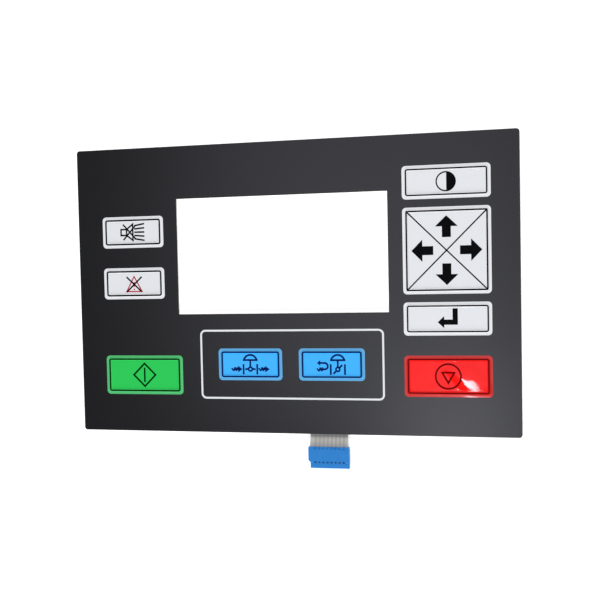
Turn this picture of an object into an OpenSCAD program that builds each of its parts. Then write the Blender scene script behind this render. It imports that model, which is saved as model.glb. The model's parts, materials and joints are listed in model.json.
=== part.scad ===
// Membrane keypad: a printed, embossed film face laminated over snap domes and a printed circuit,
// with an open display window and a film tail that ends in a row socket.
// It lies on its back, face up. The origin is the centre of the window on the back face,
// +X runs to the right of the face, +Y to its top edge and +Z out of the face.

/* [Window] */
// Width of the display window
window_w = 134.6; // [110:0.1:160]
// Height of the display window
window_h = 73.8; // [60:0.1:82]
// Land between the left keys and the window
window_gap_left = 9.3; // [5:0.1:20]
// Land between the window and the right keys
window_gap_right = 8.9; // [5:0.1:20]

/* [Keys] */
// Width of the small keys
small_w = 41.4; // [37:0.1:46]
// Height of the small keys
small_h = 20.2; // [19:0.1:23]
// Width of the right keys, the start key and the stop key, and side of the arrow pad
wide_w = 52.4; // [50:0.1:60]
// Height of the start and stop keys
tall_h = 25.2; // [23:0.1:30]
// Outer corner radius of each key's colour
key_r = 2.4; // [1:0.1:3]
// Land between the two silence keys
silence_gap = 13; // [6:0.1:20]
// Land between the arrow pad and the keys above and below it
pad_gap = 4.9; // [3:0.1:8]
// Land between the enter key and the stop key
stop_gap = 12.2; // [8:0.1:20]
// Land between the two valve keys
valve_gap = 10.7; // [6:0.1:18]

/* [Margins] */
// Land between the outer keys and the sides of the panel
side_margin = 16.8; // [10:0.1:25]
// Land above the upper right key
top_margin = 19.2; // [12:0.1:30]
// Land below the start and stop keys
bottom_margin = 24; // [16:0.1:32]
// Land below the frame line round the valve keys
frame_margin = 21.5; // [12:0.1:26]
// Distance from the valve keys to the outside of the frame line
frame_clear = 12; // [8:0.1:14]
// Width of the frame line
frame_line = 1.2; // [0.8:0.1:2]
// Outer corner radius of the frame line
frame_r = 3.4; // [2.2:0.1:6]
// Corner radius of the panel
panel_r = 2; // [1:0.1:6]

/* [Layers] */
// Thickness of the release liner on the back
liner_t = 0.1; // [0.08:0.01:0.2]
// Thickness of the rear adhesive
rear_adhesive_t = 0.15; // [0.1:0.01:0.3]
// Thickness of the circuit film
circuit_t = 0.18; // [0.13:0.01:0.25]
// Thickness of the spacer that holds the domes
spacer_t = 0.55; // [0.5:0.01:0.8]
// Thickness of the overlay adhesive
overlay_adhesive_t = 0.15; // [0.13:0.01:0.3]
// Thickness of the overlay film
film_t = 0.25; // [0.18:0.01:0.3]
// Thickness of one coat of ink
ink_t = 0.03; // [0.02:0.005:0.04]
// Thickness of the printed silver
silver_t = 0.03; // [0.02:0.005:0.05]

/* [Emboss] */
// Width of the raised rail round each key
rail_w = 1.6; // [1.4:0.05:2]
// Height of the raised rail above the face
rail_h = 0.4; // [0.25:0.01:0.5]
// Distance from the edge of a key's colour to the middle of its rail
rail_inset = 2.35; // [2:0.05:3]
// Inside corner radius of the rail
rail_inner_r = 0.2; // [0.1:0.01:0.5]

/* [Symbols] */
// Width of the outline printed along the rail
outline_w = 0.8; // [0.5:0.05:1]
// Width of the fine lines in the symbols
fine_line = 0.7; // [0.5:0.05:0.9]
// Width of the bold lines in the symbols
bold_line = 0.9; // [0.7:0.05:1.1]
// One step of the grid that the symbols are drawn on
grid = 1; // [0.85:0.01:1.05]
// Distance from the middle of the arrow pad to the middle of each arrow
arrow_reach = 14.4; // [13:0.1:15]
// Length of an arrow on the pad
arrow_l = 12.2; // [9:0.1:12.4]
// Width of an arrow's head
arrow_w = 12.2; // [9:0.1:13]
// Width of an arrow's shaft
arrow_shaft_w = 5; // [3:0.1:7]

/* [Domes] */
// Diameter of a snap dome across its feet
dome_d = 12; // [10:0.1:13]
// Width of a snap dome across its trimmed sides
dome_flats = 10.2; // [9:0.1:11]
// Height of a snap dome
dome_h = 0.6; // [0.5:0.01:0.62]
// Thickness of the dome's steel
dome_t = 0.1; // [0.08:0.01:0.12]
// Clearance between a dome and the hole in the spacer
dome_clear = 0.25; // [0.1:0.01:0.5]
// Width of the air channels between the dome holes
vent_w = 1.2; // [0.8:0.1:2]
// Diameter of the hole in the overlay adhesive over each dome
relief_d = 17; // [15:0.1:18]

/* [Tail] */
// Number of ways in the tail and the connector
ways = 8; // [4:1:10]
// Distance between ways
way_pitch = 2.54; // [2.5:0.01:3]
// Distance from the middle of the panel to the middle of the ways
tail_shift = 24; // [-20:1:60]
// Film to the left of the first way
tail_left = 3.4; // [2.5:0.1:6]
// Film to the right of the last way
tail_right = 2.4; // [1.5:0.1:3]
// Free length of the tail between the panel and the connector
tail_reach = 7.7; // [7.5:0.1:40]
// Width of a printed trace
trace_w = 1.3; // [0.8:0.1:1.6]
// Length of the traces inside the panel
trace_run = 9; // [4:0.5:12]

/* [Connector] */
// Height of the housing
housing_h = 4.6; // [4.4:0.1:5]
// Length of the body of the housing
body_l = 9.3; // [8.5:0.1:14]
// Length of the nose of the housing
nose_l = 3.8; // [3:0.1:6]
// Step down from the body to the nose, above and below
nose_drop = 0.4; // [0.2:0.05:0.5]
// Housing beyond the film at each end of the slot
end_wall = 0.9; // [0.8:0.1:2]
// Set-back of the nose at its left end, which keys the connector
key_step = 1.3; // [0.5:0.1:1.8]
// Chamfer along the housing's edges
housing_chamfer = 0.3; // [0.15:0.05:0.5]
// Cut across the housing's right rear corner
corner_cut = 0.7; // [0.3:0.1:0.75]
// Depth of the film in the housing
film_in = 5.2; // [4:0.1:6]
// Thickness of the contacts' metal
contact_t = 0.2; // [0.15:0.01:0.25]
// Width of a contact
contact_w = 1.7; // [1.4:0.05:1.8]
// Clearance round the film and the contacts in the housing
housing_clear = 0.1; // [0.05:0.01:0.15]
// Length of the latch window over each contact
latch_l = 1; // [0.6:0.1:1.4]

/* [Hidden] */
$fn = 64;

// How far a cut runs past the face that it opens
cut = 0.5;

// Panel, measured from the centre of the window
right_column_h = 2 * small_h + 2 * pad_gap + wide_w;
panel_w = 2 * side_margin + small_w + window_gap_left + window_w + window_gap_right + wide_w;
panel_h = top_margin + right_column_h + stop_gap + tall_h + bottom_margin;
panel_left = -window_w / 2 - window_gap_left - small_w - side_margin;
panel_right = panel_left + panel_w;
panel_top = right_column_h / 2 + top_margin;
panel_bottom = panel_top - panel_h;
panel_middle = (panel_left + panel_right) / 2;

// Heights of the layers
rear_adhesive_z = liner_t;
circuit_z = rear_adhesive_z + rear_adhesive_t;
spacer_z = circuit_z + circuit_t;
overlay_adhesive_z = spacer_z + spacer_t;
film_z = overlay_adhesive_z + overlay_adhesive_t;
face_z = film_z + film_t;

// Keys, each a centre and a size
small_key = [small_w, small_h];
wide_key = [wide_w, small_h];
tall_key = [wide_w, tall_h];
silence_x = panel_left + side_margin + small_w / 2;
silence_y = (small_h + silence_gap) / 2;
right_x = panel_right - side_margin - wide_w / 2;
pad_side_y = (wide_w + small_h) / 2 + pad_gap;
action_y = panel_bottom + bottom_margin + tall_h / 2;
valve_y = panel_bottom + frame_margin + frame_clear + small_h / 2;
valve_x = (small_w + valve_gap) / 2;
frame_size = [2 * (small_w + frame_clear) + valve_gap, small_h + 2 * frame_clear];
horn_key = [[silence_x, silence_y], small_key];
alarm_key = [[silence_x, -silence_y], small_key];
start_key = [[panel_left + side_margin + wide_w / 2, action_y], tall_key];
load_key = [[panel_middle - valve_x, valve_y], small_key];
unload_key = [[panel_middle + valve_x, valve_y], small_key];
contrast_key = [[right_x, pad_side_y], wide_key];
pad_key = [[right_x, 0], [wide_w, wide_w]];
enter_key = [[right_x, -pad_side_y], wide_key];
stop_key = [[right_x, action_y], tall_key];
white_keys = [horn_key, alarm_key, contrast_key, pad_key, enter_key];
blue_keys = [load_key, unload_key];
all_keys = concat(white_keys, blue_keys, [start_key, stop_key]);

// Switch positions: one under each key, and one under each arrow of the pad
up_at = pad_key[0] + [0, arrow_reach];
left_at = pad_key[0] - [arrow_reach, 0];
right_at = pad_key[0] + [arrow_reach, 0];
down_at = pad_key[0] - [0, arrow_reach];
arrows_at = [up_at, left_at, down_at, right_at];
key_switches = [for (key = all_keys) if (key != pad_key) key[0]];
switches = concat(key_switches, arrows_at);
vents = [
    [horn_key[0], alarm_key[0]], [alarm_key[0], start_key[0]], [start_key[0], load_key[0]],
    [load_key[0], unload_key[0]], [unload_key[0], stop_key[0]], [stop_key[0], enter_key[0]],
    [enter_key[0], down_at], [down_at, left_at], [down_at, right_at], [left_at, up_at],
    [up_at, contrast_key[0]]
];

// The rail's crown is an arc; the film keeps its thickness over it
rail_crown_r = (pow(rail_w / 2, 2) + pow(rail_h, 2)) / (2 * rail_h);
rail_depth = rail_crown_r - rail_h;
rail_path_r = rail_inner_r + rail_w / 2;

// The dome is part of a thin sphere
dome_r = (pow(dome_d / 2, 2) + pow(dome_h, 2)) / (2 * dome_h);
contact_ring_w = 1.6;
centre_pad_d = 3.5;

// Tail and connector, with distances counted from the panel's bottom edge
way_x = [for (i = [0:ways - 1]) panel_middle + tail_shift + (i - (ways - 1) / 2) * way_pitch];
tail_x0 = way_x[0] - tail_left;
tail_x1 = way_x[ways - 1] + tail_right;
tail_root = trace_run;
tail_rise = housing_h / 2 - circuit_t / 2 - circuit_z;
bend_sin = 0.6;
bend_cos = 0.8;
bend_r = tail_rise / (2 * (1 - bend_cos));
bend_run = 2 * bend_r * bend_sin;
bend_lead = (tail_reach - bend_run) / 2;
tail_end = tail_reach + film_in;
tail_end_z = circuit_z + tail_rise;
housing_x0 = tail_x0 - housing_clear - end_wall;
housing_x1 = tail_x1 + housing_clear + end_wall;
housing_l = body_l + nose_l;
socket_start = film_in + housing_clear;
socket_end = housing_l - 2 * contact_t;
socket_mouth = contact_w - 2 * contact_t;
slot_h = circuit_t + 2 * contact_t + 2 * housing_clear;
crimp_start = 1.2;
scallop_r = 0.7;

// A rectangle with round corners, about the origin
module rounded(size, r) {
    square([size.x - 2 * r, size.y], center = true);
    square([size.x, size.y - 2 * r], center = true);
    for (x = [-1, 1], y = [-1, 1])
        translate([x * (size.x / 2 - r), y * (size.y / 2 - r)])
            circle(r);
}

// A band of width w along the inside of a rounded rectangle
module rounded_ring(size, r, w) {
    difference() {
        rounded(size, r);
        rounded(size - 2 * [w, w], r - w);
    }
}

// A straight bar of width w between two points
module bar(a, b, w) {
    run = b - a;
    translate((a + b) / 2)
        rotate(atan2(run.y, run.x))
            square([norm(run), w], center = true);
}

// Unit vector to the left of a direction
function side_of(v) = [-v.y, v.x] / norm(v);

// Step to the left of a corner that keeps an even distance from both of its sides
function mitre(before, here, after) =
    let (a = side_of(here - before), b = side_of(after - here))
    (a + b) / (1 + a * b);

// A line of width w round a polygon whose corners are listed anticlockwise
module outline(points, w) {
    n = len(points);
    steps = [for (i = [0:n - 1]) mitre(points[(i + n - 1) % n], points[i], points[(i + 1) % n])];
    difference() {
        polygon(points - w / 2 * steps);
        polygon(points + w / 2 * steps);
    }
}

// Part of a ring between two radii and two directions less than a right angle apart
module sector(r0, r1, from, to) {
    intersection() {
        difference() {
            circle(r1);
            circle(r0);
        }
        polygon([[0, 0], 2 * r1 * from, 2 * r1 * to]);
    }
}

// A profile carried round a rectangle whose corners have radius r
module loop(size, r) {
    half = size / 2 - [r, r];
    signs = [[1, 1], [-1, 1], [-1, -1], [1, -1]];
    for (i = [0:3])
        translate([signs[i].x * half.x, signs[i].y * half.y, 0])
            rotate(90 * i)
                rotate_extrude(angle = 90)
                    translate([r, 0])
                        children();
    for (s = [-1, 1]) {
        translate([s * size.x / 2, 0, 0])
            rotate([90, 0, 0])
                linear_extrude(2 * half.y, center = true)
                    children();
        translate([0, s * size.y / 2, 0])
            rotate([90, 0, 90])
                linear_extrude(2 * half.x, center = true)
                    children();
    }
}

// The panel's outline with the window cut out
module panel_outline() {
    difference() {
        translate([panel_middle, (panel_top + panel_bottom) / 2])
            rounded([panel_w, panel_h], panel_r);
        square([window_w, window_h], center = true);
    }
}

// A flat layer of the laminate
module layer(z, t) {
    translate([0, 0, z])
        linear_extrude(t)
            panel_outline();
}

// Size of the outline that a key's rail follows
function outline_size(key) = key[1] - 2 * [rail_inset, rail_inset];

// The part of a round bead that stands above a floor, both measured from the bead's centre
module bead(r, floor_z) {
    intersection() {
        circle(r);
        translate([-r, floor_z])
            square(2 * r);
    }
}

// The raised rail of one key, grown outwards by the coats of ink on it
module rail(key, grown) {
    translate([key[0].x, key[0].y, face_z - rail_depth])
        loop(outline_size(key), rail_path_r)
            bead(rail_crown_r + grown, rail_depth);
}

// The hollow under the rail of one key
module rail_hollow(key) {
    translate([key[0].x, key[0].y, face_z - rail_depth])
        loop(outline_size(key), rail_path_r)
            bead(rail_crown_r - film_t, rail_depth - film_t - cut);
}

// A key's colour: one coat of ink over its area and its rail
module key_colour(key) {
    difference() {
        union() {
            rail(key, ink_t);
            translate([key[0].x, key[0].y, face_z])
                linear_extrude(ink_t)
                    rounded(key[1], key_r);
        }
        rail(key, 0);
    }
}

// A key's symbol, printed on its colour
module legend(key) {
    translate([key[0].x, key[0].y, face_z + ink_t])
        linear_extrude(ink_t)
            children();
}

// A key's outline, printed over the colour along the crown of its rail
module key_outline(key) {
    inner_r = rail_crown_r + ink_t;
    translate([key[0].x, key[0].y, face_z - rail_depth])
        loop(outline_size(key), rail_path_r)
            intersection() {
                difference() {
                    circle(inner_r + ink_t);
                    circle(inner_r);
                }
                translate([-outline_w / 2, 0])
                    square([outline_w, 2 * inner_r]);
            }
}

// Symbols, each about the middle of its key

// A horn with five rays, crossed out
module horn_symbol() {
    box_x0 = -8.4;
    box_x1 = -4.6;
    bell_x0 = -3.7;
    bell_x1 = 0.1;
    ray_x0 = 1;
    ray_x1 = 7.6;
    outline(grid * [[box_x0, -2], [box_x1, -2], [box_x1, 2], [box_x0, 2]], fine_line);
    outline(grid * [[bell_x0, 2.3], [bell_x0, -2.3], [bell_x1, -5.4], [bell_x1, 5.4]], fine_line);
    bar(grid * [-6.7, 5.2], grid * [1.9, -4.4], fine_line);
    bar(grid * [-6.5, -4.9], grid * [1.9, 4.4], fine_line);
    for (i = [-2:2])
        bar(grid * [ray_x0, 1.95 * i], grid * [ray_x1, 2.6 * i], fine_line);
}

// A warning triangle with its mark
module alarm_symbol() {
    dot_r = 0.7 * fine_line;
    outline(grid * [[-5, -4.8], [5, -4.8], [0, 4.8]], fine_line);
    bar(grid * [0, 1.9], grid * [0, -1.7], fine_line);
    translate(grid * [0, -3.1])
        circle(dot_r);
}

// The two bars that cross out the warning triangle
module alarm_cross() {
    bar(grid * [-5.2, -5], grid * [5.2, 5], fine_line);
    bar(grid * [-5.2, 5], grid * [5.2, -5], fine_line);
}

// A disc with its right half filled
module contrast_symbol() {
    disc_r = 6 * grid;
    difference() {
        circle(disc_r);
        circle(disc_r - fine_line);
    }
    intersection() {
        circle(disc_r - fine_line / 2);
        translate([0.3 * grid, -disc_r])
            square([disc_r, 2 * disc_r]);
    }
}

// A solid arrow pointing up
module pad_arrow() {
    tip = arrow_l / 2;
    translate([-arrow_shaft_w / 2, -tip])
        square([arrow_shaft_w, arrow_l / 2 + cut]);
    polygon([[0, tip], [-arrow_w / 2, 0], [arrow_w / 2, 0]]);
}

// Four arrows with the pad divided corner to corner
module pad_symbol() {
    corner = outline_size(pad_key) / 2 - [rail_w, rail_w] / 2 - [fine_line, fine_line] / 2;
    for (i = [0:3])
        rotate(90 * i)
            translate([0, arrow_reach])
                pad_arrow();
    bar(-corner, corner, fine_line);
    bar([-corner.x, corner.y], [corner.x, -corner.y], fine_line);
}

// A hooked arrow pointing left
module enter_symbol() {
    hook_x = 6.1;
    hook_w = 3.1;
    head_x = -2;
    translate(grid * [hook_x - hook_w, -3.6])
        square(grid * [hook_w, 9.8]);
    translate(grid * [head_x, -3.6])
        square(grid * [hook_x - head_x, hook_w]);
    polygon(grid * [[-5.8, -2.05], [head_x, 1.6], [head_x, -5.7]]);
}

// A diamond round an upright bar
module start_symbol() {
    reach = 7.4;
    outline(grid * [[reach, 0], [0, reach], [-reach, 0], [0, -reach]], bold_line);
    bar(grid * [0, 4.7], grid * [0, -4.7], bold_line);
}

// A ring round a triangle pointing down
module stop_symbol() {
    ring_r = 8 * grid;
    difference() {
        circle(ring_r);
        circle(ring_r - bold_line);
    }
    outline(grid * [[-3.6, 2.3], [0, -4], [3.6, 2.3]], bold_line);
}

// A flow arrow pointing right: a head on a feathered shaft
module flow_arrow() {
    head_l = 1.9;
    half_h = 1.2;
    for (x = [-0.6, 1.2])
        polygon(grid * [[x + head_l, 0], [x, half_h], [x + 0.3, 0], [x, -half_h]]);
    bar(grid * [-3.1, 0], grid * [1.6, 0], fine_line);
    for (x = [-2.6, -1.6])
        polygon(grid * [[x + head_l, 0], [x + 0.4, half_h], [x, half_h], [x + 0.8, 0],
                        [x, -half_h], [x + 0.4, -half_h]]);
}

// A diaphragm valve: a dome on a stem with a ring between two walls
module valve_symbol() {
    dome_x = 4.45 * grid;
    dome_rise = 3.4 * grid;
    base_y = 2.9 * grid;
    ring_y = -3 * grid;
    wall_y0 = -6.5;
    wall_y1 = 0.5;
    ring_r = 1.5 * bold_line;
    bore_r = 0.6 * bold_line;
    arc_r = (dome_x * dome_x + dome_rise * dome_rise) / (2 * dome_rise);
    intersection() {
        translate([0, base_y + dome_rise - arc_r])
            difference() {
                circle(arc_r + bold_line / 2);
                circle(arc_r - bold_line / 2);
            }
        translate([-2 * dome_x, base_y])
            square([4 * dome_x, 2 * dome_rise]);
    }
    bar([-dome_x - bold_line / 2, base_y], [dome_x + bold_line / 2, base_y], bold_line);
    bar([0, base_y], [0, ring_y + bold_line], bold_line);
    translate([0, ring_y])
        difference() {
            circle(ring_r);
            circle(bore_r);
        }
    for (s = [-1, 1])
        bar([s * dome_x, wall_y0 * grid], [s * dome_x, wall_y1 * grid], bold_line);
}

// The valve open: the plate lies along the flow, with an arrow on each side
module load_symbol() {
    valve_symbol();
    for (s = [-1, 1]) {
        bar(grid * [1.1 * s, -3], grid * [3.8 * s, -3], bold_line);
        translate(grid * [8.9 * s, -3])
            flow_arrow();
    }
}

// The valve shut: the plate is turned, and the flow goes back
module unload_symbol() {
    turn_r = 2 * grid;
    turn_x = -4 * grid;
    valve_shift = 3.8 * grid;
    flow_y = -3 * grid;
    back_y = flow_y + 2 * turn_r;
    tip_x = turn_x - 4.9 * grid;
    head_x = turn_x - 2.7 * grid;
    head_half = 1.4 * grid;
    translate([valve_shift, 0]) {
        valve_symbol();
        for (s = [-1, 1])
            bar([0, flow_y] + s * grid * [0.8, 0.8], [0, flow_y] + s * grid * [2.8, 2.8], bold_line);
    }
    translate([turn_x, flow_y + turn_r])
        intersection() {
            difference() {
                circle(turn_r + bold_line / 2);
                circle(turn_r - bold_line / 2);
            }
            translate([0, -2 * turn_r])
                square([2 * turn_r, 4 * turn_r]);
        }
    bar([turn_x + grid * 0.3, back_y], [head_x - grid * 0.3, back_y], fine_line);
    polygon([[tip_x, back_y], [head_x, back_y + head_half], [head_x, back_y - head_half]]);
    translate([turn_x - 1.8 * grid, flow_y])
        flow_arrow();
}

// Layers of the laminate, from the back

module release_liner() {
    color("antiquewhite")
        layer(0, liner_t);
}

module rear_adhesive() {
    color("gainsboro")
        layer(rear_adhesive_z, rear_adhesive_t);
}

// A section drawn as distance from the panel's edge and height, carried from x0 to x1
module across_tail(x0, x1) {
    translate([(x0 + x1) / 2, panel_bottom, 0])
        rotate([90, 0, -90])
            linear_extrude(x1 - x0, center = true)
                children();
}

// A strip of the tail between two heights in the film, in an S bend up to the connector
module tail_strip(x0, x1, t0, t1) {
    t = t1 - t0;
    bend_end = bend_lead + bend_run;
    across_tail(x0, x1)
        translate([-tail_root, circuit_z + t0])
            square([tail_root + bend_lead, t]);
    across_tail(x0, x1)
        translate([bend_lead, circuit_z + bend_r])
            sector(bend_r - t1, bend_r - t0, [0, -1], [bend_sin, -bend_cos]);
    across_tail(x0, x1)
        translate([bend_end, tail_end_z - bend_r])
            sector(bend_r + t0, bend_r + t1, [-bend_sin, bend_cos], [0, 1]);
    across_tail(x0, x1)
        translate([bend_end, tail_end_z + t0])
            square([tail_end - bend_end, t]);
}

// The printed silver: a ring and a centre pad under each dome, and a trace for each way
module silver_print() {
    for (p = switches)
        translate([p.x, p.y, spacer_z - silver_t])
            linear_extrude(silver_t) {
                circle(d = centre_pad_d);
                difference() {
                    circle(d = dome_d + 2 * dome_clear);
                    circle(d = dome_d - 2 * contact_ring_w);
                }
            }
    for (x = way_x)
        tail_strip(x - trace_w / 2, x + trace_w / 2, circuit_t - silver_t, circuit_t);
}

module circuit_film() {
    color("darkgray")
        difference() {
            union() {
                layer(circuit_z, circuit_t);
                tail_strip(tail_x0, tail_x1, 0, circuit_t);
            }
            silver_print();
        }
}

module silver_circuit() {
    color("silver")
        silver_print();
}

module dome_spacer() {
    color("whitesmoke")
        difference() {
            layer(spacer_z, spacer_t);
            translate([0, 0, spacer_z - cut])
                linear_extrude(spacer_t + 2 * cut) {
                    for (p = switches)
                        translate(p)
                            circle(d = dome_d + 2 * dome_clear);
                    for (v = vents)
                        bar(v[0], v[1], vent_w);
                }
        }
}

// Half of a section through a dome: an arc of thin steel
module dome_section() {
    intersection() {
        translate([0, dome_h - dome_r])
            difference() {
                circle(dome_r, $fn = 720);
                circle(dome_r - dome_t, $fn = 720);
            }
        square([dome_d / 2, dome_h]);
    }
}

// A snap dome: a thin spherical cap trimmed on four sides, so that it stands on four feet
module dome(at) {
    color("lightsteelblue")
        translate([at.x, at.y, spacer_z])
            intersection() {
                rotate_extrude()
                    dome_section();
                translate([-dome_flats / 2, -dome_flats / 2, -cut])
                    cube([dome_flats, dome_flats, dome_h + 2 * cut]);
            }
}

module overlay_adhesive() {
    color("gainsboro")
        difference() {
            layer(overlay_adhesive_z, overlay_adhesive_t);
            for (p = switches)
                translate([p.x, p.y, overlay_adhesive_z - cut])
                    cylinder(h = overlay_adhesive_t + 2 * cut, d = relief_d);
        }
}

// The face: one film with a rail raised round every key
module graphic_overlay() {
    color("#303033")
        difference() {
            union() {
                layer(film_z, film_t);
                for (key = all_keys)
                    rail(key, 0);
            }
            for (key = all_keys)
                rail_hollow(key);
        }
}

// Print on the face, one node for each ink

module print_white() {
    color("white") {
        for (key = white_keys)
            key_colour(key);
        translate([panel_middle, valve_y, face_z])
            linear_extrude(ink_t)
                rounded_ring(frame_size, frame_r, frame_line);
    }
}

module print_green() {
    color("#35CC55")
        key_colour(start_key);
}

module print_blue() {
    color("#45B0FF")
        for (key = blue_keys)
            key_colour(key);
}

module print_red() {
    color("#FF2A20")
        key_colour(stop_key);
}

module print_black() {
    color("#151517") {
        for (key = white_keys)
            key_outline(key);
        legend(horn_key)
            horn_symbol();
        legend(alarm_key)
            alarm_cross();
        legend(contrast_key)
            contrast_symbol();
        legend(pad_key)
            pad_symbol();
        legend(enter_key)
            enter_symbol();
    }
}

module print_dark_green() {
    color("#044A0C") {
        key_outline(start_key);
        legend(start_key)
            start_symbol();
    }
}

module print_navy() {
    color("#0A2A58") {
        for (key = blue_keys)
            key_outline(key);
        legend(load_key)
            load_symbol();
        legend(unload_key)
            unload_symbol();
    }
}

module print_dark_red() {
    color("#8B0000") {
        key_outline(stop_key);
        legend(stop_key)
            stop_symbol();
    }
}

module print_alarm_red() {
    color("#C8505A")
        legend(alarm_key)
            difference() {
                alarm_symbol();
                alarm_cross();
            }
}

// Connector at the end of the tail

// Places children at the rear face of the housing, with Y along its length towards the nose
module at_housing() {
    translate([0, panel_bottom - tail_reach, 0])
        mirror([0, 1, 0])
            children();
}

// Outline of the housing from above
module housing_plan() {
    nose_x0 = housing_x0 + key_step;
    polygon([
        [housing_x0, 0], [housing_x1 - corner_cut, 0], [housing_x1, corner_cut], [housing_x1, housing_l],
        [nose_x0, housing_l], [nose_x0, body_l], [housing_x0, body_l - key_step]
    ]);
}

// Outline of the housing from the side, length across and height up
module housing_side() {
    c = housing_chamfer;
    nose_z0 = nose_drop;
    nose_z1 = housing_h - nose_drop;
    polygon([
        [0, c], [c, 0], [body_l, 0], [body_l + nose_drop, nose_z0], [housing_l - c, nose_z0],
        [housing_l, nose_z0 + c], [housing_l, nose_z1 - c], [housing_l - c, nose_z1],
        [body_l + nose_drop, nose_z1], [body_l, housing_h], [c, housing_h], [0, housing_h - c]
    ]);
}

module connector_housing() {
    middle_z = housing_h / 2;
    cavity_w = contact_w + 2 * housing_clear;
    slot_w = tail_x1 - tail_x0 + 2 * housing_clear;
    color("#2F7FD0")
        at_housing()
            difference() {
                intersection() {
                    linear_extrude(housing_h)
                        housing_plan();
                    translate([housing_x0 - cut, 0, 0])
                        rotate([90, 0, 90])
                            linear_extrude(housing_x1 - housing_x0 + 2 * cut)
                                housing_side();
                }
                translate([tail_x0 - housing_clear, -cut, middle_z - slot_h / 2])
                    cube([slot_w, film_in + housing_clear + cut, slot_h]);
                for (x = way_x) {
                    translate([x - cavity_w / 2, socket_start - housing_clear, middle_z - cavity_w / 2])
                        cube([cavity_w, socket_end + 2 * housing_clear - socket_start, cavity_w]);
                    translate([x - socket_mouth / 2, socket_start, middle_z - socket_mouth / 2])
                        cube([socket_mouth, housing_l, socket_mouth]);
                    translate([x - socket_mouth / 2, body_l - latch_l / 2, middle_z])
                        cube([socket_mouth, latch_l, housing_h]);
                    translate([x, -cut, housing_h + scallop_r / 2])
                        rotate([-90, 0, 0])
                            cylinder(h = crimp_start + cut, r = scallop_r);
                }
            }
}

// One contact: two plates that clamp the film, joined to a square socket
module contact(x) {
    middle_z = housing_h / 2;
    plates_h = circuit_t + 2 * contact_t;
    translate([x - contact_w / 2, crimp_start, middle_z - plates_h / 2])
        difference() {
            cube([contact_w, socket_start + contact_t - crimp_start, plates_h]);
            translate([-cut, -cut, contact_t])
                cube([contact_w + 2 * cut, film_in - crimp_start + cut, circuit_t]);
        }
    translate([x - contact_w / 2, socket_start, middle_z - contact_w / 2])
        difference() {
            cube([contact_w, socket_end - socket_start, contact_w]);
            translate([contact_t, contact_t, contact_t])
                cube([socket_mouth, housing_l, socket_mouth]);
        }
}

module connector_contacts() {
    color("goldenrod")
        at_housing()
            for (x = way_x)
                contact(x);
}

release_liner();
rear_adhesive();
circuit_film();
silver_circuit();
dome_spacer();
dome(horn_key[0]);  // dome_horn
dome(alarm_key[0]);  // dome_alarm
dome(start_key[0]);  // dome_start
dome(load_key[0]);  // dome_load
dome(unload_key[0]);  // dome_unload
dome(contrast_key[0]);  // dome_contrast
dome(up_at);  // dome_up
dome(left_at);  // dome_left
dome(right_at);  // dome_right
dome(down_at);  // dome_down
dome(enter_key[0]);  // dome_enter
dome(stop_key[0]);  // dome_stop
overlay_adhesive();
graphic_overlay();
print_white();
print_green();
print_blue();
print_red();
print_black();
print_dark_green();
print_navy();
print_dark_red();
print_alarm_red();
connector_housing();
connector_contacts();
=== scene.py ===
"""Looks for a membrane keypad: gloss-printed, rail-embossed keys on a black film face,
with an open window, a grey film tail and a blue row socket."""

import json
from collections import namedtuple

import bmesh
import bpy
import numpy as np
from mathutils import Matrix, Vector


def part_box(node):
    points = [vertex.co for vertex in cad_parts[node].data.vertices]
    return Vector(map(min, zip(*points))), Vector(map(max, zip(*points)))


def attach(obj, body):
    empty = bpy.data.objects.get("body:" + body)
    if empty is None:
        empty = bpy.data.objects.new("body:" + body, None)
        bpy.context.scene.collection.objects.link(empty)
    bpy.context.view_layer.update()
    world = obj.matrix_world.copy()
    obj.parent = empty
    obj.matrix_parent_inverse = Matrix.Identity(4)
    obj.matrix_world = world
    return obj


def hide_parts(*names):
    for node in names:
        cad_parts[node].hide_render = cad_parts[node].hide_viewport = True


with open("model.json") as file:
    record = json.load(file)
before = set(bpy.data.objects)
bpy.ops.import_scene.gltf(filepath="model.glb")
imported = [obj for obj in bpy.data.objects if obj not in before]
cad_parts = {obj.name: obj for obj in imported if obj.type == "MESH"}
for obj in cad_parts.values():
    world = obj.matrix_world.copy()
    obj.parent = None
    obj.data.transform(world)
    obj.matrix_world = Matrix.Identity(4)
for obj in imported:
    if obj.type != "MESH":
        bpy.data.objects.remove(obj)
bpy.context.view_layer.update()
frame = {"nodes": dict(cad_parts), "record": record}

# Sizes in millimetres; MM turns them into the frame's metres
MM = 0.001
SMALL = (41.4, 20.2)
WIDE = (52.4, 20.2)
TALL = (52.4, 25.2)
SQUARE = (52.4, 52.4)
KEY_R = 2.4
# The rail round a key: distance of its crown from the key's edge, height, half width, corner radius
RAIL_INSET = 2.35
RAIL_H = 0.4
RAIL_REACH = 1.3
RAIL_PATH_R = 1.0
# Print: thickness, widths of outlines and of the symbols' lines, and the step of points along a line
INK = 0.03
OUTLINE_W = 1.05
FINER_OUTLINES = {"contrast": 0.88, "pad": 0.96, "enter": 0.88, "stop": 0.84}
FINE = 0.8
MEDIUM = 1.0
BOLD = 1.15
STEP = 0.7
# Slack of the film inside a rail, and the widths over which it fades at the rail and a lift at the sides
CROWN = 0.03
RIPPLE = 0.01
FIELD_EASE = 3.0
BAND_EASE = 1.4
# A key's colour: the rings run densely from the lip to the end of the band, with these distances from
# the edge and corner radii; its paler border ends this far inside the rail's crown, over this width
SKIN_LIP = 1.0
SKIN_BAND = 3.7
SKIN_RADII = ((0, KEY_R), (1.55, 1.8), (3.15, 0.2), (SKIN_BAND, 0.12))
BORDER_END = 0.9
BORDER_FADE = 0.8
# The pad's arrows, placed by the base of their heads, and the dots in its corners
ARROW_REACH = 14.4
ARROW_L = 13.0
ARROW_W = 13.4
SHAFT_W = 5.3
PAD_DOT_R = 0.75
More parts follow.
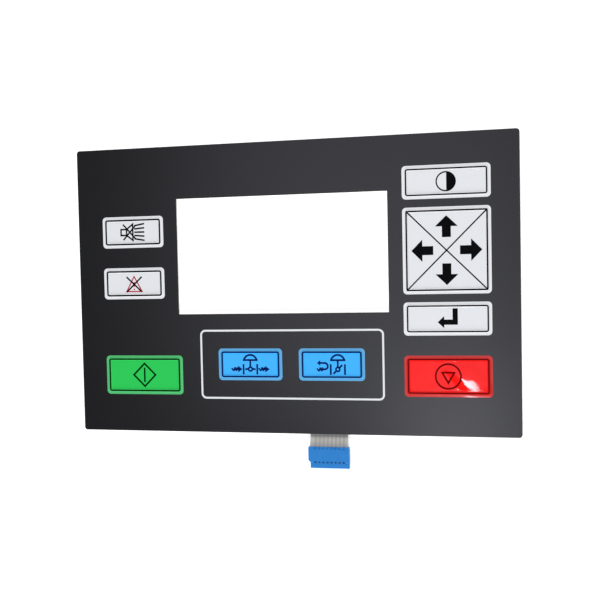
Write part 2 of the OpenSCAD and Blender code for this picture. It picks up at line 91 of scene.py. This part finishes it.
# The white line round the two valve keys
FRAME_SIZE = np.array([117.5, 44.2])
FRAME_LINE = 1.2
FRAME_R = 3.4
# Meshes: points nearer than this, in metres, are one, and steeper edges in degrees stay sharp
WELD = 1e-7
SHARP_ANGLE = 50
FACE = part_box("print_green")[0].z / MM


def middle(*nodes):
    """Centre of some nodes' boxes from above, in millimetres."""
    corners = np.array([[list(c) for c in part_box(n)] for n in nodes]) / MM
    return corners.mean(axis=(0, 1))[:2]


Key = namedtuple("Key", "centre size")
Lift = namedtuple("Lift", "x lean height reach spread")
# Where a key's film stands off the layers below, from its lower edge upwards
LIFTS = {"stop": Lift(21.0, -0.8, 0.58, 16.0, 8.0)}
KEYS = {
    "horn": Key(middle("dome_horn"), SMALL),
    "alarm": Key(middle("dome_alarm"), SMALL),
    "start": Key(middle("dome_start"), TALL),
    "load": Key(middle("dome_load"), SMALL),
    "unload": Key(middle("dome_unload"), SMALL),
    "contrast": Key(middle("dome_contrast"), WIDE),
    "pad": Key(middle("dome_up", "dome_left", "dome_right", "dome_down"), SQUARE),
    "enter": Key(middle("dome_enter"), WIDE),
    "stop": Key(middle("dome_stop"), TALL),
}
PANEL = middle("graphic_overlay")
LAND = Key(PANEL, None)


# Film surface

def ease(t):
    """Smooth step from 0 to 1: three t squared less two t cubed, held at the ends."""
    t = np.clip(t, 0, 1)
    return t * t * (3 - 2 * t)


def inset(key, x, y):
    """Distance inwards from a key's edge, where every inner line is a parallel rounded rectangle."""
    r = RAIL_INSET + RAIL_PATH_R
    qx = np.abs(x) - (key.size[0] / 2 - r)
    qy = np.abs(y) - (key.size[1] / 2 - r)
    corner = np.hypot(np.maximum(qx, 0), np.maximum(qy, 0))
    return r - corner - np.minimum(np.maximum(qx, qy), 0)


def film(key, x, y):
    """Height of the film over the face: a raised cosine along the rail, and inside it a shallow
    crown, one less the fourth powers across and along, with a slow ripple of two waves. A lift is
    a quarter of a sine wave up from the lower edge and a smooth step down to the upper one, leaning
    as it rises, with a flat-topped bell across it."""
    if key is LAND:
        return np.zeros_like(x)
    d = inset(key, x, y)
    rail = RAIL_H * (0.5 + 0.5 * np.cos(np.pi * np.clip((d - RAIL_INSET) / RAIL_REACH, -1, 1)))
    u = x / (key.size[0] / 2 - RAIL_INSET)
    v = y / (key.size[1] / 2 - RAIL_INSET)
    crown = CROWN * (1 - u ** 4) * (1 - v ** 4)
    phase = 0.07 * key.centre[0] + 0.13 * key.centre[1]
    ripple = RIPPLE * (np.sin(3.1 * u + 1.3 * v + phase) + np.sin(1.7 * u - 2.6 * v + 2 * phase))
    height = rail + ease((d - RAIL_INSET) / FIELD_EASE) * (crown + ripple)
    for lift in [LIFTS[name] for name in LIFTS if KEYS[name] is key]:
        up = y + key.size[1] / 2
        across = (x - lift.x - lift.lean * up) / lift.spread
        side = ease((key.size[0] / 2 - np.abs(x)) / BAND_EASE)
        down = ease((key.size[1] - up) / (key.size[1] - lift.reach))
        wave = np.sin(np.pi / 2 * np.clip(up / lift.reach, 0, 1)) * down
        height = height + side * lift.height * wave * np.exp(-across ** 4 / 2)
    return height


def rings(half, r, side=36, corner=8):
    """Points round nested rounded rectangles, one ring for each half size and radius:
    a quarter circle about each corner's centre, and even steps along the sides between."""
    turn = np.arange(4)[:, None] * np.pi / 2 + np.linspace(0, np.pi / 2, corner)
    signs = np.array([[1, 1], [-1, 1], [-1, -1], [1, -1]])
    centres = signs * (half - r[:, None])[:, None, :]
    arcs = centres[:, :, None] + r[:, None, None, None] * np.stack([np.cos(turn), np.sin(turn)], -1)
    t = np.linspace(0, 1, side + 2)[1:-1, None]
    sides = arcs[:, :, -1:] * (1 - t) + np.roll(arcs[:, :, :1], -1, axis=1) * t
    return np.concatenate([arcs, sides], axis=2).reshape(len(half), -1, 2)


# Meshes

def quads(rows, cols, close_rows):
    """Corner indices of a grid whose columns close on themselves, and its rows too if asked."""
    i = np.arange(rows if close_rows else rows - 1)[:, None]
    j = np.arange(cols)[None, :]
    ahead, across = (i + 1) % rows, (j + 1) % cols
    corners = [i * cols + j, i * cols + across, ahead * cols + across, ahead * cols + j]
    return np.stack(corners, -1).reshape(-1, 4)


def slab(key, grid, lift=INK, closed=False):
    """A thin closed plate on a key's colour: a grid of points (along, across) raised by lift,
    the same grid sunk below, and walls between; closed joins the last row to the first."""
    rows, cols = grid.shape[:2]
    loop = np.concatenate([grid, grid[:, ::-1]], axis=1)
    x, y = loop[..., 0], loop[..., 1]
    base = FACE + film(key, x, y) + (0 if key is LAND else INK)
    height = np.where(np.arange(2 * cols) < cols, lift, -INK / 2)
    points = np.stack([x + key.centre[0], y + key.centre[1], base + height], -1).reshape(-1, 3)
    faces = quads(rows, 2 * cols, closed)
    if not closed:
        j = np.arange(cols - 1)
        cap = np.stack([j, j + 1, 2 * cols - 2 - j, 2 * cols - 1 - j], -1)
        faces = np.concatenate([faces, cap, cap[:, ::-1] + (rows - 1) * 2 * cols])
    return points, faces


def piece(name, parts, material, stands_for=(), border=None):
    """One object from closed parts, each an array of points in millimetres and one of faces; a key's
    colour also brings its border's share for each point, and the points where its rings meet are joined."""
    first = np.cumsum([0] + [len(points) for points, _ in parts])
    points = np.concatenate([p for p, _ in parts]) * MM
    faces = np.concatenate([f + n for (_, f), n in zip(parts, first)])
    mesh = bpy.data.meshes.new(name)
    mesh.vertices.add(len(points))
    mesh.vertices.foreach_set("co", points.ravel())
    mesh.loops.add(faces.size)
    mesh.loops.foreach_set("vertex_index", faces.ravel())
    mesh.polygons.add(len(faces))
    mesh.polygons.foreach_set("loop_start", np.arange(0, faces.size, 4))
    mesh.update(calc_edges=True)
    if border is not None:
        values = mesh.attributes.new("border", "FLOAT", "POINT")
        values.data.foreach_set("value", border.astype(np.float32))
    work = bmesh.new()
    work.from_mesh(mesh)
    if border is not None:
        bmesh.ops.remove_doubles(work, verts=work.verts, dist=WELD)
    bmesh.ops.recalc_face_normals(work, faces=work.faces)
    work.to_mesh(mesh)
    work.free()
    mesh.shade_smooth()
    mesh.set_sharp_from_angle(angle=np.radians(SHARP_ANGLE))
    mesh.materials.append(material)
    made = bpy.data.objects.new(name, mesh)
    bpy.context.scene.collection.objects.link(made)
    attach(made, "root")
    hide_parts(*stands_for)


# Drawn shapes, each a grid of points (along, across) about the middle of its key

def stroke(points, width, closed=False):
    """A line of even width along a polyline: each point moves both ways along its mitre, which is
    the sum of its two sides' normals over one plus their dot product."""
    points = np.asarray(points, float)
    ends = np.concatenate([points, points[:1]]) if closed else points
    run = np.diff(ends, axis=0)
    span = np.linalg.norm(run, axis=1)
    normal = np.stack([-run[:, 1], run[:, 0]], -1) / span[:, None]
    before = np.concatenate([normal[-1:] if closed else normal[:1], normal])
    after = np.concatenate([normal, normal[:1] if closed else normal[-1:]])
    mitre = (before + after) / (1 + (before * after).sum(1, keepdims=True))
    counts = np.maximum(1, np.ceil(span / STEP)).astype(int)
    where = np.concatenate([i + np.arange(n) / n for i, n in enumerate(counts)] + [[len(counts)]])
    edges = ends[:, None] + np.array([0.5, 0, -0.5])[:, None] * width * mitre[:, None]
    low = np.minimum(where.astype(int), len(counts) - 1)
    share = (where - low)[:, None, None]
    grid = edges[low] * (1 - share) + edges[low + 1] * share
    return grid[:-1] if closed else grid


def between(*edges):
    """A filled shape between edges of as many points each, which become its columns."""
    return np.stack([np.asarray(e, float) for e in edges], axis=1)


def arc(centre, r, start, end, count=40):
    """Points round part of a circle, from one angle in degrees to another."""
    a = np.radians(np.linspace(start, end, count))
    return np.asarray(centre) + r * np.stack([np.cos(a), np.sin(a)], -1)


def ring(centre, r, width):
    """A closed band about a circle."""
    return stroke(arc(centre, r, 0, 360, 57)[:-1], width, closed=True)


def dot(centre, r):
    """A filled disc between its upper and lower half circles."""
    upper = arc(centre, r, 176, 4, 17)
    lower = arc(centre, r, 184, 356, 17)
    return between(upper, (upper + lower) / 2, lower)


def bar(x0, y0, x1, y1):
    """A filled upright rectangle between two corners."""
    along = np.linspace(x0, x1, max(2, int((x1 - x0) / STEP)))
    return between(*[np.stack([along, np.full_like(along, y)], -1) for y in np.linspace(y1, y0, 6)])


def dart(tip, wing, notch):
    """A filled arrowhead: an edge from each wing and a middle line from the notch run to the tip."""
    tip, wing, notch = (np.asarray(p, float) for p in (tip, wing, notch))
    axis = (notch - tip) / np.linalg.norm(notch - tip)
    other = 2 * (tip + axis * ((wing - tip) @ axis)) - wing
    t = np.linspace(0, 0.98, 10)[:, None]
    return between(*[p + (tip - p) * t for p in (wing, notch, other)])


def turned(grid, quarter):
    """A shape turned anticlockwise by quarter turns."""
    c, s = np.cos(quarter * np.pi / 2), np.sin(quarter * np.pi / 2)
    return grid @ np.array([[c, s], [-s, c]])


def moved(grid, x, y):
    """A shape moved by a step."""
    return grid + np.array([x, y])


# Symbols, as lists of (grid, closed)

def horn_symbol():
    """A horn with five rays, crossed out."""
    lines = [[(-6.7, 5.2), (1.9, -4.4)], [(-6.5, -4.9), (1.9, 4.4)]]
    lines += [[(1, 2.1 * i), (7.9, 2.7 * i)] for i in range(-2, 3)]
    lines += [[(-4.3, 1.9), (0, 5.2), (0, -5.2), (-4.3, -1.9)]]
    case = [(-8.1, -1.9), (-4.3, -1.9), (-4.3, 1.9), (-8.1, 1.9)]
    return [(stroke(case, MEDIUM, True), True)] + [(stroke(line, MEDIUM), False) for line in lines]


def alarm_symbol():
    """A warning triangle with its mark."""
    return [
        (stroke([(-5.3, -5.2), (5.3, -5.2), (0, 4.5)], FINE, True), True),
        (stroke([(0, 0.9), (0, -2.3)], FINE), False),
        (dot((0, -3.8), 0.52), False),
    ]


def alarm_cross():
    """The two bars that cross out the warning triangle."""
    return [(stroke([(-5.2 * s, -5.5), (5.2 * s, 4.3)], MEDIUM), False) for s in (1, -1)]


def contrast_symbol():
    """A disc with its right half filled."""
    r = 6 - FINE / 2
    curve = arc((0, 0), r, -86, 86)
    chord = np.stack([np.full(len(curve), 0.3), curve[:, 1]], -1)
    return [(ring((0, 0), r, FINE), True), (between(curve, (curve + chord) / 2, chord), False)]


def pad_symbol():
    """Four solid arrows, with the pad divided corner to corner and a dot in each corner."""
    tip, neck, tail = ARROW_REACH + ARROW_L / 2, ARROW_REACH, ARROW_REACH - ARROW_L / 2
    shaft = bar(-SHAFT_W / 2, tail, SHAFT_W / 2, neck + 0.2)
    head = dart((0, tip), (-ARROW_W / 2, neck), (0, neck))
    reach = SQUARE[0] / 2 - RAIL_INSET - 0.3
    quarter = [shaft, head, dot((reach, reach), PAD_DOT_R)]
    marks = [turned(shape, q) for q in range(4) for shape in quarter]
    marks += [turned(stroke([(-reach, -reach), (reach, reach)], FINE), q) for q in range(2)]
    return [(m, False) for m in marks]


def enter_symbol():
    """A hooked arrow pointing left."""
    marks = [
        bar(3, -3.6, 6.1, 6.2),
        bar(-2.1, -3.6, 6.1, -0.5),
        dart((-5.8, -2.05), (-2, -5.7), (-2, -2.05)),
    ]
    return [(m, False) for m in marks]


def start_symbol():
    """A diamond round an upright bar."""
    return [
        (stroke([(7.4, 0), (0, 7.4), (-7.4, 0), (0, -7.4)], BOLD, True), True),
        (stroke([(0, 4.7), (0, -4.7)], BOLD), False),
    ]


def stop_symbol():
    """A ring round a triangle pointing down."""
    return [
        (ring((0, 0), 8 - MEDIUM / 2, MEDIUM), True),
        (stroke([(-3.6, 2.3), (0, -4), (3.6, 2.3)], MEDIUM, True), True),
    ]


def feathers(x, y):
    """The feathers of a flow arrow: a zigzag along its shaft."""
    points = [(-3.4, 0.6), (-1.95, -1.15), (-1.2, 1.2), (-0.35, -1.15), (0.45, 1.2)]
    return [(moved(stroke(ends, MEDIUM), x, y), False) for ends in zip(points, points[1:])]


def flow_arrow(x, y):
    """A feathered arrow pointing right."""
    head = [stroke([(-1.2, 0), (1.7, 0)], BOLD), dart((3.65, 0), (0.8, 2.05), (0.8, 0))]
    return feathers(x, y) + [(moved(shape, x, y), False) for shape in head]


def valve_symbol(x):
    """A diaphragm valve: a dome on a stem, with a ring between two walls."""
    half, rise, base, flow, wall = 4.2, 3.25, 2.75, -3.0, 4.45
    r = (half ** 2 + rise ** 2) / (2 * rise)
    spread = np.degrees(np.arcsin(half / r))
    shapes = [
        (stroke(arc((0, base + rise - r), r, 90 - spread, 90 + spread), BOLD), False),
        (stroke([(-half - BOLD / 2, base), (half + BOLD / 2, base)], BOLD), False),
        (stroke([(0, base), (0, flow + BOLD)], BOLD), False),
        (ring((0, flow), 1.05 * BOLD, 0.9 * BOLD), True),
    ]
    shapes += [(stroke([(s * wall, -6.35), (s * wall, 0.2)], BOLD), False) for s in (-1, 1)]
    return [(moved(shape, x, 0), closed) for shape, closed in shapes]


def load_symbol():
    """The valve open: its plate lies along the flow, with an arrow on each side."""
    plate = [(stroke([(s * 1.1, -3), (s * 3.4, -3)], BOLD), False) for s in (-1, 1)]
    return valve_symbol(0) + plate + flow_arrow(-8.85, -3) + flow_arrow(8.85, -3)


def unload_symbol():
    """The valve shut: its plate is turned, and the flow goes back."""
    halves = [[(3.8 + s * r, -3 + s * r) for r in (0.8, 2.8)] for s in (-1, 1)]
    plate = [(stroke(ends, BOLD), False) for ends in halves]
    back = [
        (stroke(arc((-4.5, -1), 2, -90, 90, 24), BOLD), False),
        (stroke([(-4.4, 1), (-7.5, 1)], BOLD), False),
        (stroke([(-6.7, -3), (-4.4, -3)], BOLD), False),
        (dart((-9.3, 1), (-7.2, -0.7), (-7.2, 1)), False),
    ]
    return valve_symbol(3.8) + plate + back + feathers(-6, -3)


# Materials

FILM_IOR = 1.57


def linear(code):
    """An sRGB hex colour as linear red, green, blue and a full alpha."""
    c = np.array([int(code[i:i + 2], 16) for i in (1, 3, 5)]) / 255
    return [*np.where(c <= 0.04045, c / 12.92, ((c + 0.055) / 1.055) ** 2.4), 1.0]


def per(mm):
    """Scale of a noise whose features are about this many millimetres across."""
    return 1 / (mm * MM)


def node(tree, kind, inputs=(), **settings):
    """Adds a node, sets its own settings, and gives each input a value or a link from a socket."""
    made = tree.nodes.new(kind)
    for name, value in settings.items():
        setattr(made, name, value)
    for name, value in dict(inputs).items():
        if isinstance(value, bpy.types.NodeSocket):
            tree.links.new(value, made.inputs[name])
        else:
            made.inputs[name].default_value = value
    return made


def blank(name):
    """A material with an empty tree."""
    made = bpy.data.materials.new(name)
    made.use_nodes = True
    made.node_tree.nodes.clear()
    return made, made.node_tree


def velvet_polyester():
    """Black polyester film with a fine velvet hard coat: a soft grey sheen and a dusty grain."""
    made, tree = blank("velvet_polyester_black")
    place = node(tree, "ShaderNodeTexCoord").outputs["Object"]
    cloud = node(tree, "ShaderNodeTexNoise", {"Vector": place, "Scale": per(22), "Detail": 4.0})
    # The real grain is about 0.1 mm; it is drawn at 0.7 mm so that it shows
    grain = node(tree, "ShaderNodeTexNoise", {"Vector": place, "Scale": per(0.7), "Detail": 3.0})
    tone = node(tree, "ShaderNodeMix", {
        0: cloud.outputs["Fac"], 6: linear("#08080A"), 7: linear("#0D0D0F")}, data_type="RGBA")
    rough = node(tree, "ShaderNodeMapRange", {
        "Value": grain.outputs["Fac"], "To Min": 0.28, "To Max": 0.37})
    bump = node(tree, "ShaderNodeBump", {
        "Height": grain.outputs["Fac"], "Strength": 0.25, "Distance": 0.03 * MM})
    shader = node(tree, "ShaderNodeBsdfPrincipled", {
        "Base Color": tone.outputs[2], "Roughness": rough.outputs[0], "Normal": bump.outputs[0],
        "IOR": FILM_IOR})
    node(tree, "ShaderNodeOutputMaterial", {"Surface": shader.outputs[0]})
    return made


def gloss_ink(name, field, edge):
    """Screen ink under clear polyester: glossy inside the rail, paler and more matte outside it."""
    made, tree = blank(name)
    place = node(tree, "ShaderNodeTexCoord").outputs["Object"]
    border = node(tree, "ShaderNodeAttribute", attribute_name="border").outputs["Fac"]
    cloud = node(tree, "ShaderNodeTexNoise", {"Vector": place, "Scale": per(9), "Detail": 5.0})
    grain = node(tree, "ShaderNodeTexNoise", {"Vector": place, "Scale": per(0.6), "Detail": 2.0})
    inks = node(tree, "ShaderNodeMix", {0: border, 6: linear(field), 7: linear(edge)}, data_type="RGBA")
    worn = node(tree, "ShaderNodeMapRange", {
        "Value": cloud.outputs["Fac"], "To Min": 0.0, "To Max": 0.04})
    tone = node(tree, "ShaderNodeMix", {
        0: worn.outputs[0], 6: inks.outputs[2], 7: linear("#8A8C90")}, data_type="RGBA")
    rough = node(tree, "ShaderNodeMapRange", {"Value": border, "To Min": 0.06, "To Max": 0.11})
    weave = node(tree, "ShaderNodeMath", {0: grain.outputs["Fac"], 1: border}, operation="MULTIPLY")
    bump = node(tree, "ShaderNodeBump", {
        "Height": weave.outputs[0], "Strength": 0.1, "Distance": 0.02 * MM})
    shader = node(tree, "ShaderNodeBsdfPrincipled", {
        "Base Color": tone.outputs[2], "Roughness": rough.outputs[0], "Normal": bump.outputs[0],
        "IOR": FILM_IOR, "Specular IOR Level": 0.22})
    node(tree, "ShaderNodeOutputMaterial", {"Surface": shader.outputs[0]})
    return made


def line_ink(name, thick, thin):
    """Dark screen ink laid in thin lines: its tone varies with the thickness of the coat."""
    made, tree = blank(name)
    place = node(tree, "ShaderNodeTexCoord").outputs["Object"]
    coat = node(tree, "ShaderNodeTexNoise", {"Vector": place, "Scale": per(2.5), "Detail": 4.0})
    tone = node(tree, "ShaderNodeMix", {
        0: coat.outputs["Fac"], 6: linear(thick), 7: linear(thin)}, data_type="RGBA")
    rough = node(tree, "ShaderNodeMapRange", {
        "Value": coat.outputs["Fac"], "To Min": 0.45, "To Max": 0.55})
    shader = node(tree, "ShaderNodeBsdfPrincipled", {
        "Base Color": tone.outputs[2], "Roughness": rough.outputs[0], "IOR": FILM_IOR,
        "Specular IOR Level": 0.03})
    node(tree, "ShaderNodeOutputMaterial", {"Surface": shader.outputs[0]})
    return made


def plain_film(name, light, dark, rough_low, rough_high, metallic=0.0, streak_mm=(3.0, 3.0, 3.0),
               shine=0.5):
    """Film, paper, plastic or metal with a streak of its making: rolled, coated or moulded."""
    made, tree = blank(name)
    place = node(tree, "ShaderNodeTexCoord").outputs["Object"]
    stretch = node(tree, "ShaderNodeMapping", {"Vector": place, "Scale": [per(s) for s in streak_mm]})
    streak = node(tree, "ShaderNodeTexNoise", {
        "Vector": stretch.outputs[0], "Scale": 1.0, "Detail": 5.0})
    tone = node(tree, "ShaderNodeMix", {
        0: streak.outputs["Fac"], 6: linear(dark), 7: linear(light)}, data_type="RGBA")
    rough = node(tree, "ShaderNodeMapRange", {
        "Value": streak.outputs["Fac"], "To Min": rough_low, "To Max": rough_high})
    bump = node(tree, "ShaderNodeBump", {
        "Height": streak.outputs["Fac"], "Strength": 0.12, "Distance": 0.03 * MM})
    shader = node(tree, "ShaderNodeBsdfPrincipled", {
        "Base Color": tone.outputs[2], "Roughness": rough.outputs[0], "Normal": bump.outputs[0],
        "Metallic": metallic, "Specular IOR Level": shine})
    node(tree, "ShaderNodeOutputMaterial", {"Surface": shader.outputs[0]})
    return made


BLACK_FILM = velvet_polyester()
INKS = {
    "white": gloss_ink("white_screen_ink", "#E4E6E8", "#E8E9EB"),
    "green": gloss_ink("green_screen_ink", "#2ACA56", "#52C072"),
    "blue": gloss_ink("blue_screen_ink", "#34B2FF", "#58A9DE"),
    "red": gloss_ink("red_screen_ink", "#FF0800", "#CE2C29"),
}
LINES = {
    "black": line_ink("black_screen_ink", "#050506", "#0E0E10"),
    "dark_green": line_ink("dark_green_screen_ink", "#022806", "#053A0B"),
    "navy": line_ink("navy_screen_ink", "#031A58", "#06246A"),
    "dark_red": line_ink("dark_red_screen_ink", "#5A0103", "#780406"),
    "alarm_red": line_ink("pale_red_screen_ink", "#AE2C3A", "#C4505C"),
}
# Rolled films and metals carry long streaks along the roll; the others an even mottle of 3 mm
CAD_LOOKS = {
    "overlay_black": BLACK_FILM,
    "liner_paper": plain_film("silicone_release_paper", "#EDE3CB", "#E0D3B6", 0.35, 0.5,
                              streak_mm=(1.5, 6.0, 1.5)),
    "adhesive": plain_film("acrylic_transfer_adhesive", "#DCDCD6", "#C9C9C2", 0.25, 0.4),
    "circuit_film": plain_film("grey_polyester_film", "#C8C6BE", "#B9B7AF", 0.45, 0.6,
                               streak_mm=(0.8, 12.0, 3.0), shine=0.3),
    "silver_ink": plain_film("printed_silver", "#B9B8B3", "#A9A8A3", 0.45, 0.6, 0.15,
                             streak_mm=(0.5, 6.0, 3.0)),
    "spacer_film": plain_film("milky_polyester", "#ECECE8", "#DCDCD8", 0.3, 0.45),
    "dome_steel": plain_film("rolled_spring_steel", "#C8CACD", "#B0B2B6", 0.2, 0.32, 1.0,
                             streak_mm=(0.3, 8.0, 2.0)),
    "connector_blue": plain_film("moulded_blue_nylon", "#3285D2", "#1E76BD", 0.4, 0.5, shine=0.3),
    # The contacts' tin is painted dark blue-grey: painted shade of the latch windows they are seen through
    "contact_metal": plain_film("tinned_brass_with_painted_shade", "#565C68", "#40454F", 0.25, 0.4, 1.0,
                                streak_mm=(0.2, 4.0, 2.0)),
}
SLOT_OF = {row["node"]: row["material_slot"] for row in frame["record"]["subparts"]}
for name, part in frame["nodes"].items():
    look = CAD_LOOKS.get(SLOT_OF[name])
    if look:
        part.data.materials.clear()
        part.data.materials.append(look)


# Keys

def key_skin(name, ink):
    """A key's colour: rings run in from the edge over the rail and on to the middle,
    along the top of the ink and back along its underside."""
    key = KEYS[name]
    half = np.array(key.size) / 2
    d = np.concatenate([np.linspace(0, SKIN_LIP, 4), np.linspace(SKIN_LIP, SKIN_BAND, 28)[1:]])
    shrink = np.linspace(1, 0, 25)[1:]
    halves = np.concatenate([half - d[:, None], shrink[:, None] * (half - d[-1])])
    corners = np.interp(d, *np.transpose(SKIN_RADII))
    radii = np.concatenate([corners, corners[-1] * shrink])
    ring_points = rings(halves, radii)
    both = np.concatenate([ring_points[::-1], ring_points])
    x, y = both[..., 0], both[..., 1]
    coat = np.where(np.arange(len(both)) < len(ring_points), 0, INK)[:, None]
    points = np.stack([x + key.centre[0], y + key.centre[1], FACE + film(key, x, y) + coat], -1)
    border = ease((RAIL_INSET + BORDER_END - inset(key, x, y)) / BORDER_FADE)
    faces = quads(*both.shape[:2], False)
    piece(f"{name}_key_colour", [(points.reshape(-1, 3), faces)], INKS[ink],
          [f"print_{ink}"], border.ravel())


def key_outline(name, ink):
    """The line along the crown of a key's rail: a band of parallel rings."""
    key = KEYS[name]
    width = FINER_OUTLINES.get(name, OUTLINE_W)
    d = RAIL_INSET + np.linspace(-width / 2, width / 2, 7)
    band = rings(np.array(key.size) / 2 - d[:, None], RAIL_INSET + RAIL_PATH_R - d)
    ring_slab = slab(key, band.transpose(1, 0, 2), closed=True)
    piece(f"{name}_key_outline", [ring_slab], LINES[ink], [f"print_{ink}"])


def key_symbol(name, label, shapes, ink, lift=INK):
    """A key's symbol, drawn on its colour."""
    parts = [slab(KEYS[name], grid, lift, closed) for grid, closed in shapes]
    piece(label, parts, LINES[ink], [f"print_{ink}"])


FINISHES = {
    "horn": ("white", "black"), "alarm": ("white", "black"), "contrast": ("white", "black"),
    "pad": ("white", "black"), "enter": ("white", "black"), "start": ("green", "dark_green"),
    "load": ("blue", "navy"), "unload": ("blue", "navy"), "stop": ("red", "dark_red"),
}
SYMBOLS = {
    "horn": horn_symbol, "alarm": alarm_cross, "contrast": contrast_symbol, "pad": pad_symbol,
    "enter": enter_symbol, "start": start_symbol, "load": load_symbol, "unload": unload_symbol,
    "stop": stop_symbol,
}
for name, (colour, ink) in FINISHES.items():
    key_skin(name, colour)
    key_outline(name, ink)
    key_symbol(name, f"{name}_symbol", SYMBOLS[name](), ink)
# The red triangle lies a little below the black bars that cross it out
key_symbol("alarm", "alarm_triangle", alarm_symbol(), "alarm_red", INK * 0.8)


def valve_frame():
    """The white line round the two valve keys: a band of rounded rectangles on the bare film."""
    d = np.linspace(0, FRAME_LINE, 4)
    line = rings(FRAME_SIZE / 2 - d[:, None], FRAME_R - d)
    valves = np.mean([KEYS["load"].centre, KEYS["unload"].centre], axis=0) - PANEL
    band = slab(LAND, moved(line.transpose(1, 0, 2), *valves), closed=True)
    piece("valve_frame_line", [band], INKS["white"], ["print_white"])


valve_frame()

# Camera, at the photograph's viewing angle
EYE = (108.04, -10.49, 486.76)
RIGHT = (0.98098, -0.02058, -0.19304)
UP = (0.01306, 0.99911, -0.04012)
AHEAD = (-0.19369, -0.03684, -0.98037)
lens = bpy.data.cameras.new("camera")
lens.sensor_width = 36
lens.lens = 47.66
lens.clip_start = 0.01
camera = bpy.data.objects.new("camera", lens)
columns = [Vector(RIGHT), Vector(UP), -Vector(AHEAD), Vector(EYE) * MM]
camera.matrix_world = Matrix([[c[i] for c in columns] for i in range(3)] + [[0, 0, 0, 1]])
bpy.context.scene.collection.objects.link(camera)
bpy.context.scene.camera = camera


# Light

def softbox(name, place, aim, size, watts, colour, glare=True):
    """A square lamp at a place in millimetres, turned to face a point on the panel; without glare
    it gives soft light only, and no reflection."""
    lamp = bpy.data.lights.new(name, "AREA")
    lamp.size = size * MM
    lamp.energy = watts
    lamp.color = linear(colour)[:3]
    made = bpy.data.objects.new(name, lamp)
    made.location = Vector(place) * MM
    made.rotation_euler = (Vector(aim) - Vector(place)).to_track_quat("-Z", "Y").to_euler()
    made.visible_glossy = glare
    bpy.context.scene.collection.objects.link(made)


softbox("back_wall", (0, 1750, 800), (0, 0, 0), 800, 32, "#FFFFFF", glare=False)
softbox("front_wall", (0, -1750, 500), (0, 0, 0), 800, 46, "#FFFFFF", glare=False)
softbox("ceiling_panel", (-60, 70, 1500), (-60, 70, 0), 1000, 3.8, "#F0F0FF")
softbox("ceiling_lamp", (110, -436, 1456), (100, -60, 0), 95, 1.4, "#F6F7FF")
world = bpy.data.worlds.new("studio")
world.use_nodes = True
sky = world.node_tree.nodes["Background"]
sky.inputs["Color"].default_value = linear("#F6F7FA")
sky.inputs["Strength"].default_value = 0.14
bpy.context.scene.world = world
bpy.context.scene.view_settings.view_transform = "Standard"

# Floor, just below the liner
FLOOR_HALF = 3000
FLOOR_DROP = 0.1
SIGNS = ((-1, -1), (1, -1), (1, 1), (-1, 1))
floor_mesh = bpy.data.meshes.new("floor")
floor_mesh.from_pydata(
    [(x * FLOOR_HALF * MM, y * FLOOR_HALF * MM, -FLOOR_DROP * MM) for x, y in SIGNS], [], [(0, 1, 2, 3)])
floor_paint, tree = blank("white_paper_floor")
shader = node(tree, "ShaderNodeBsdfPrincipled", {
    "Base Color": linear("#FDFDFD"), "Roughness": 0.9,
    "Emission Color": linear("#FFFFFF"), "Emission Strength": 0.3})
node(tree, "ShaderNodeOutputMaterial", {"Surface": shader.outputs[0]})
floor_mesh.materials.append(floor_paint)
floor = bpy.data.objects.new("floor", floor_mesh)
bpy.context.scene.collection.objects.link(floor)
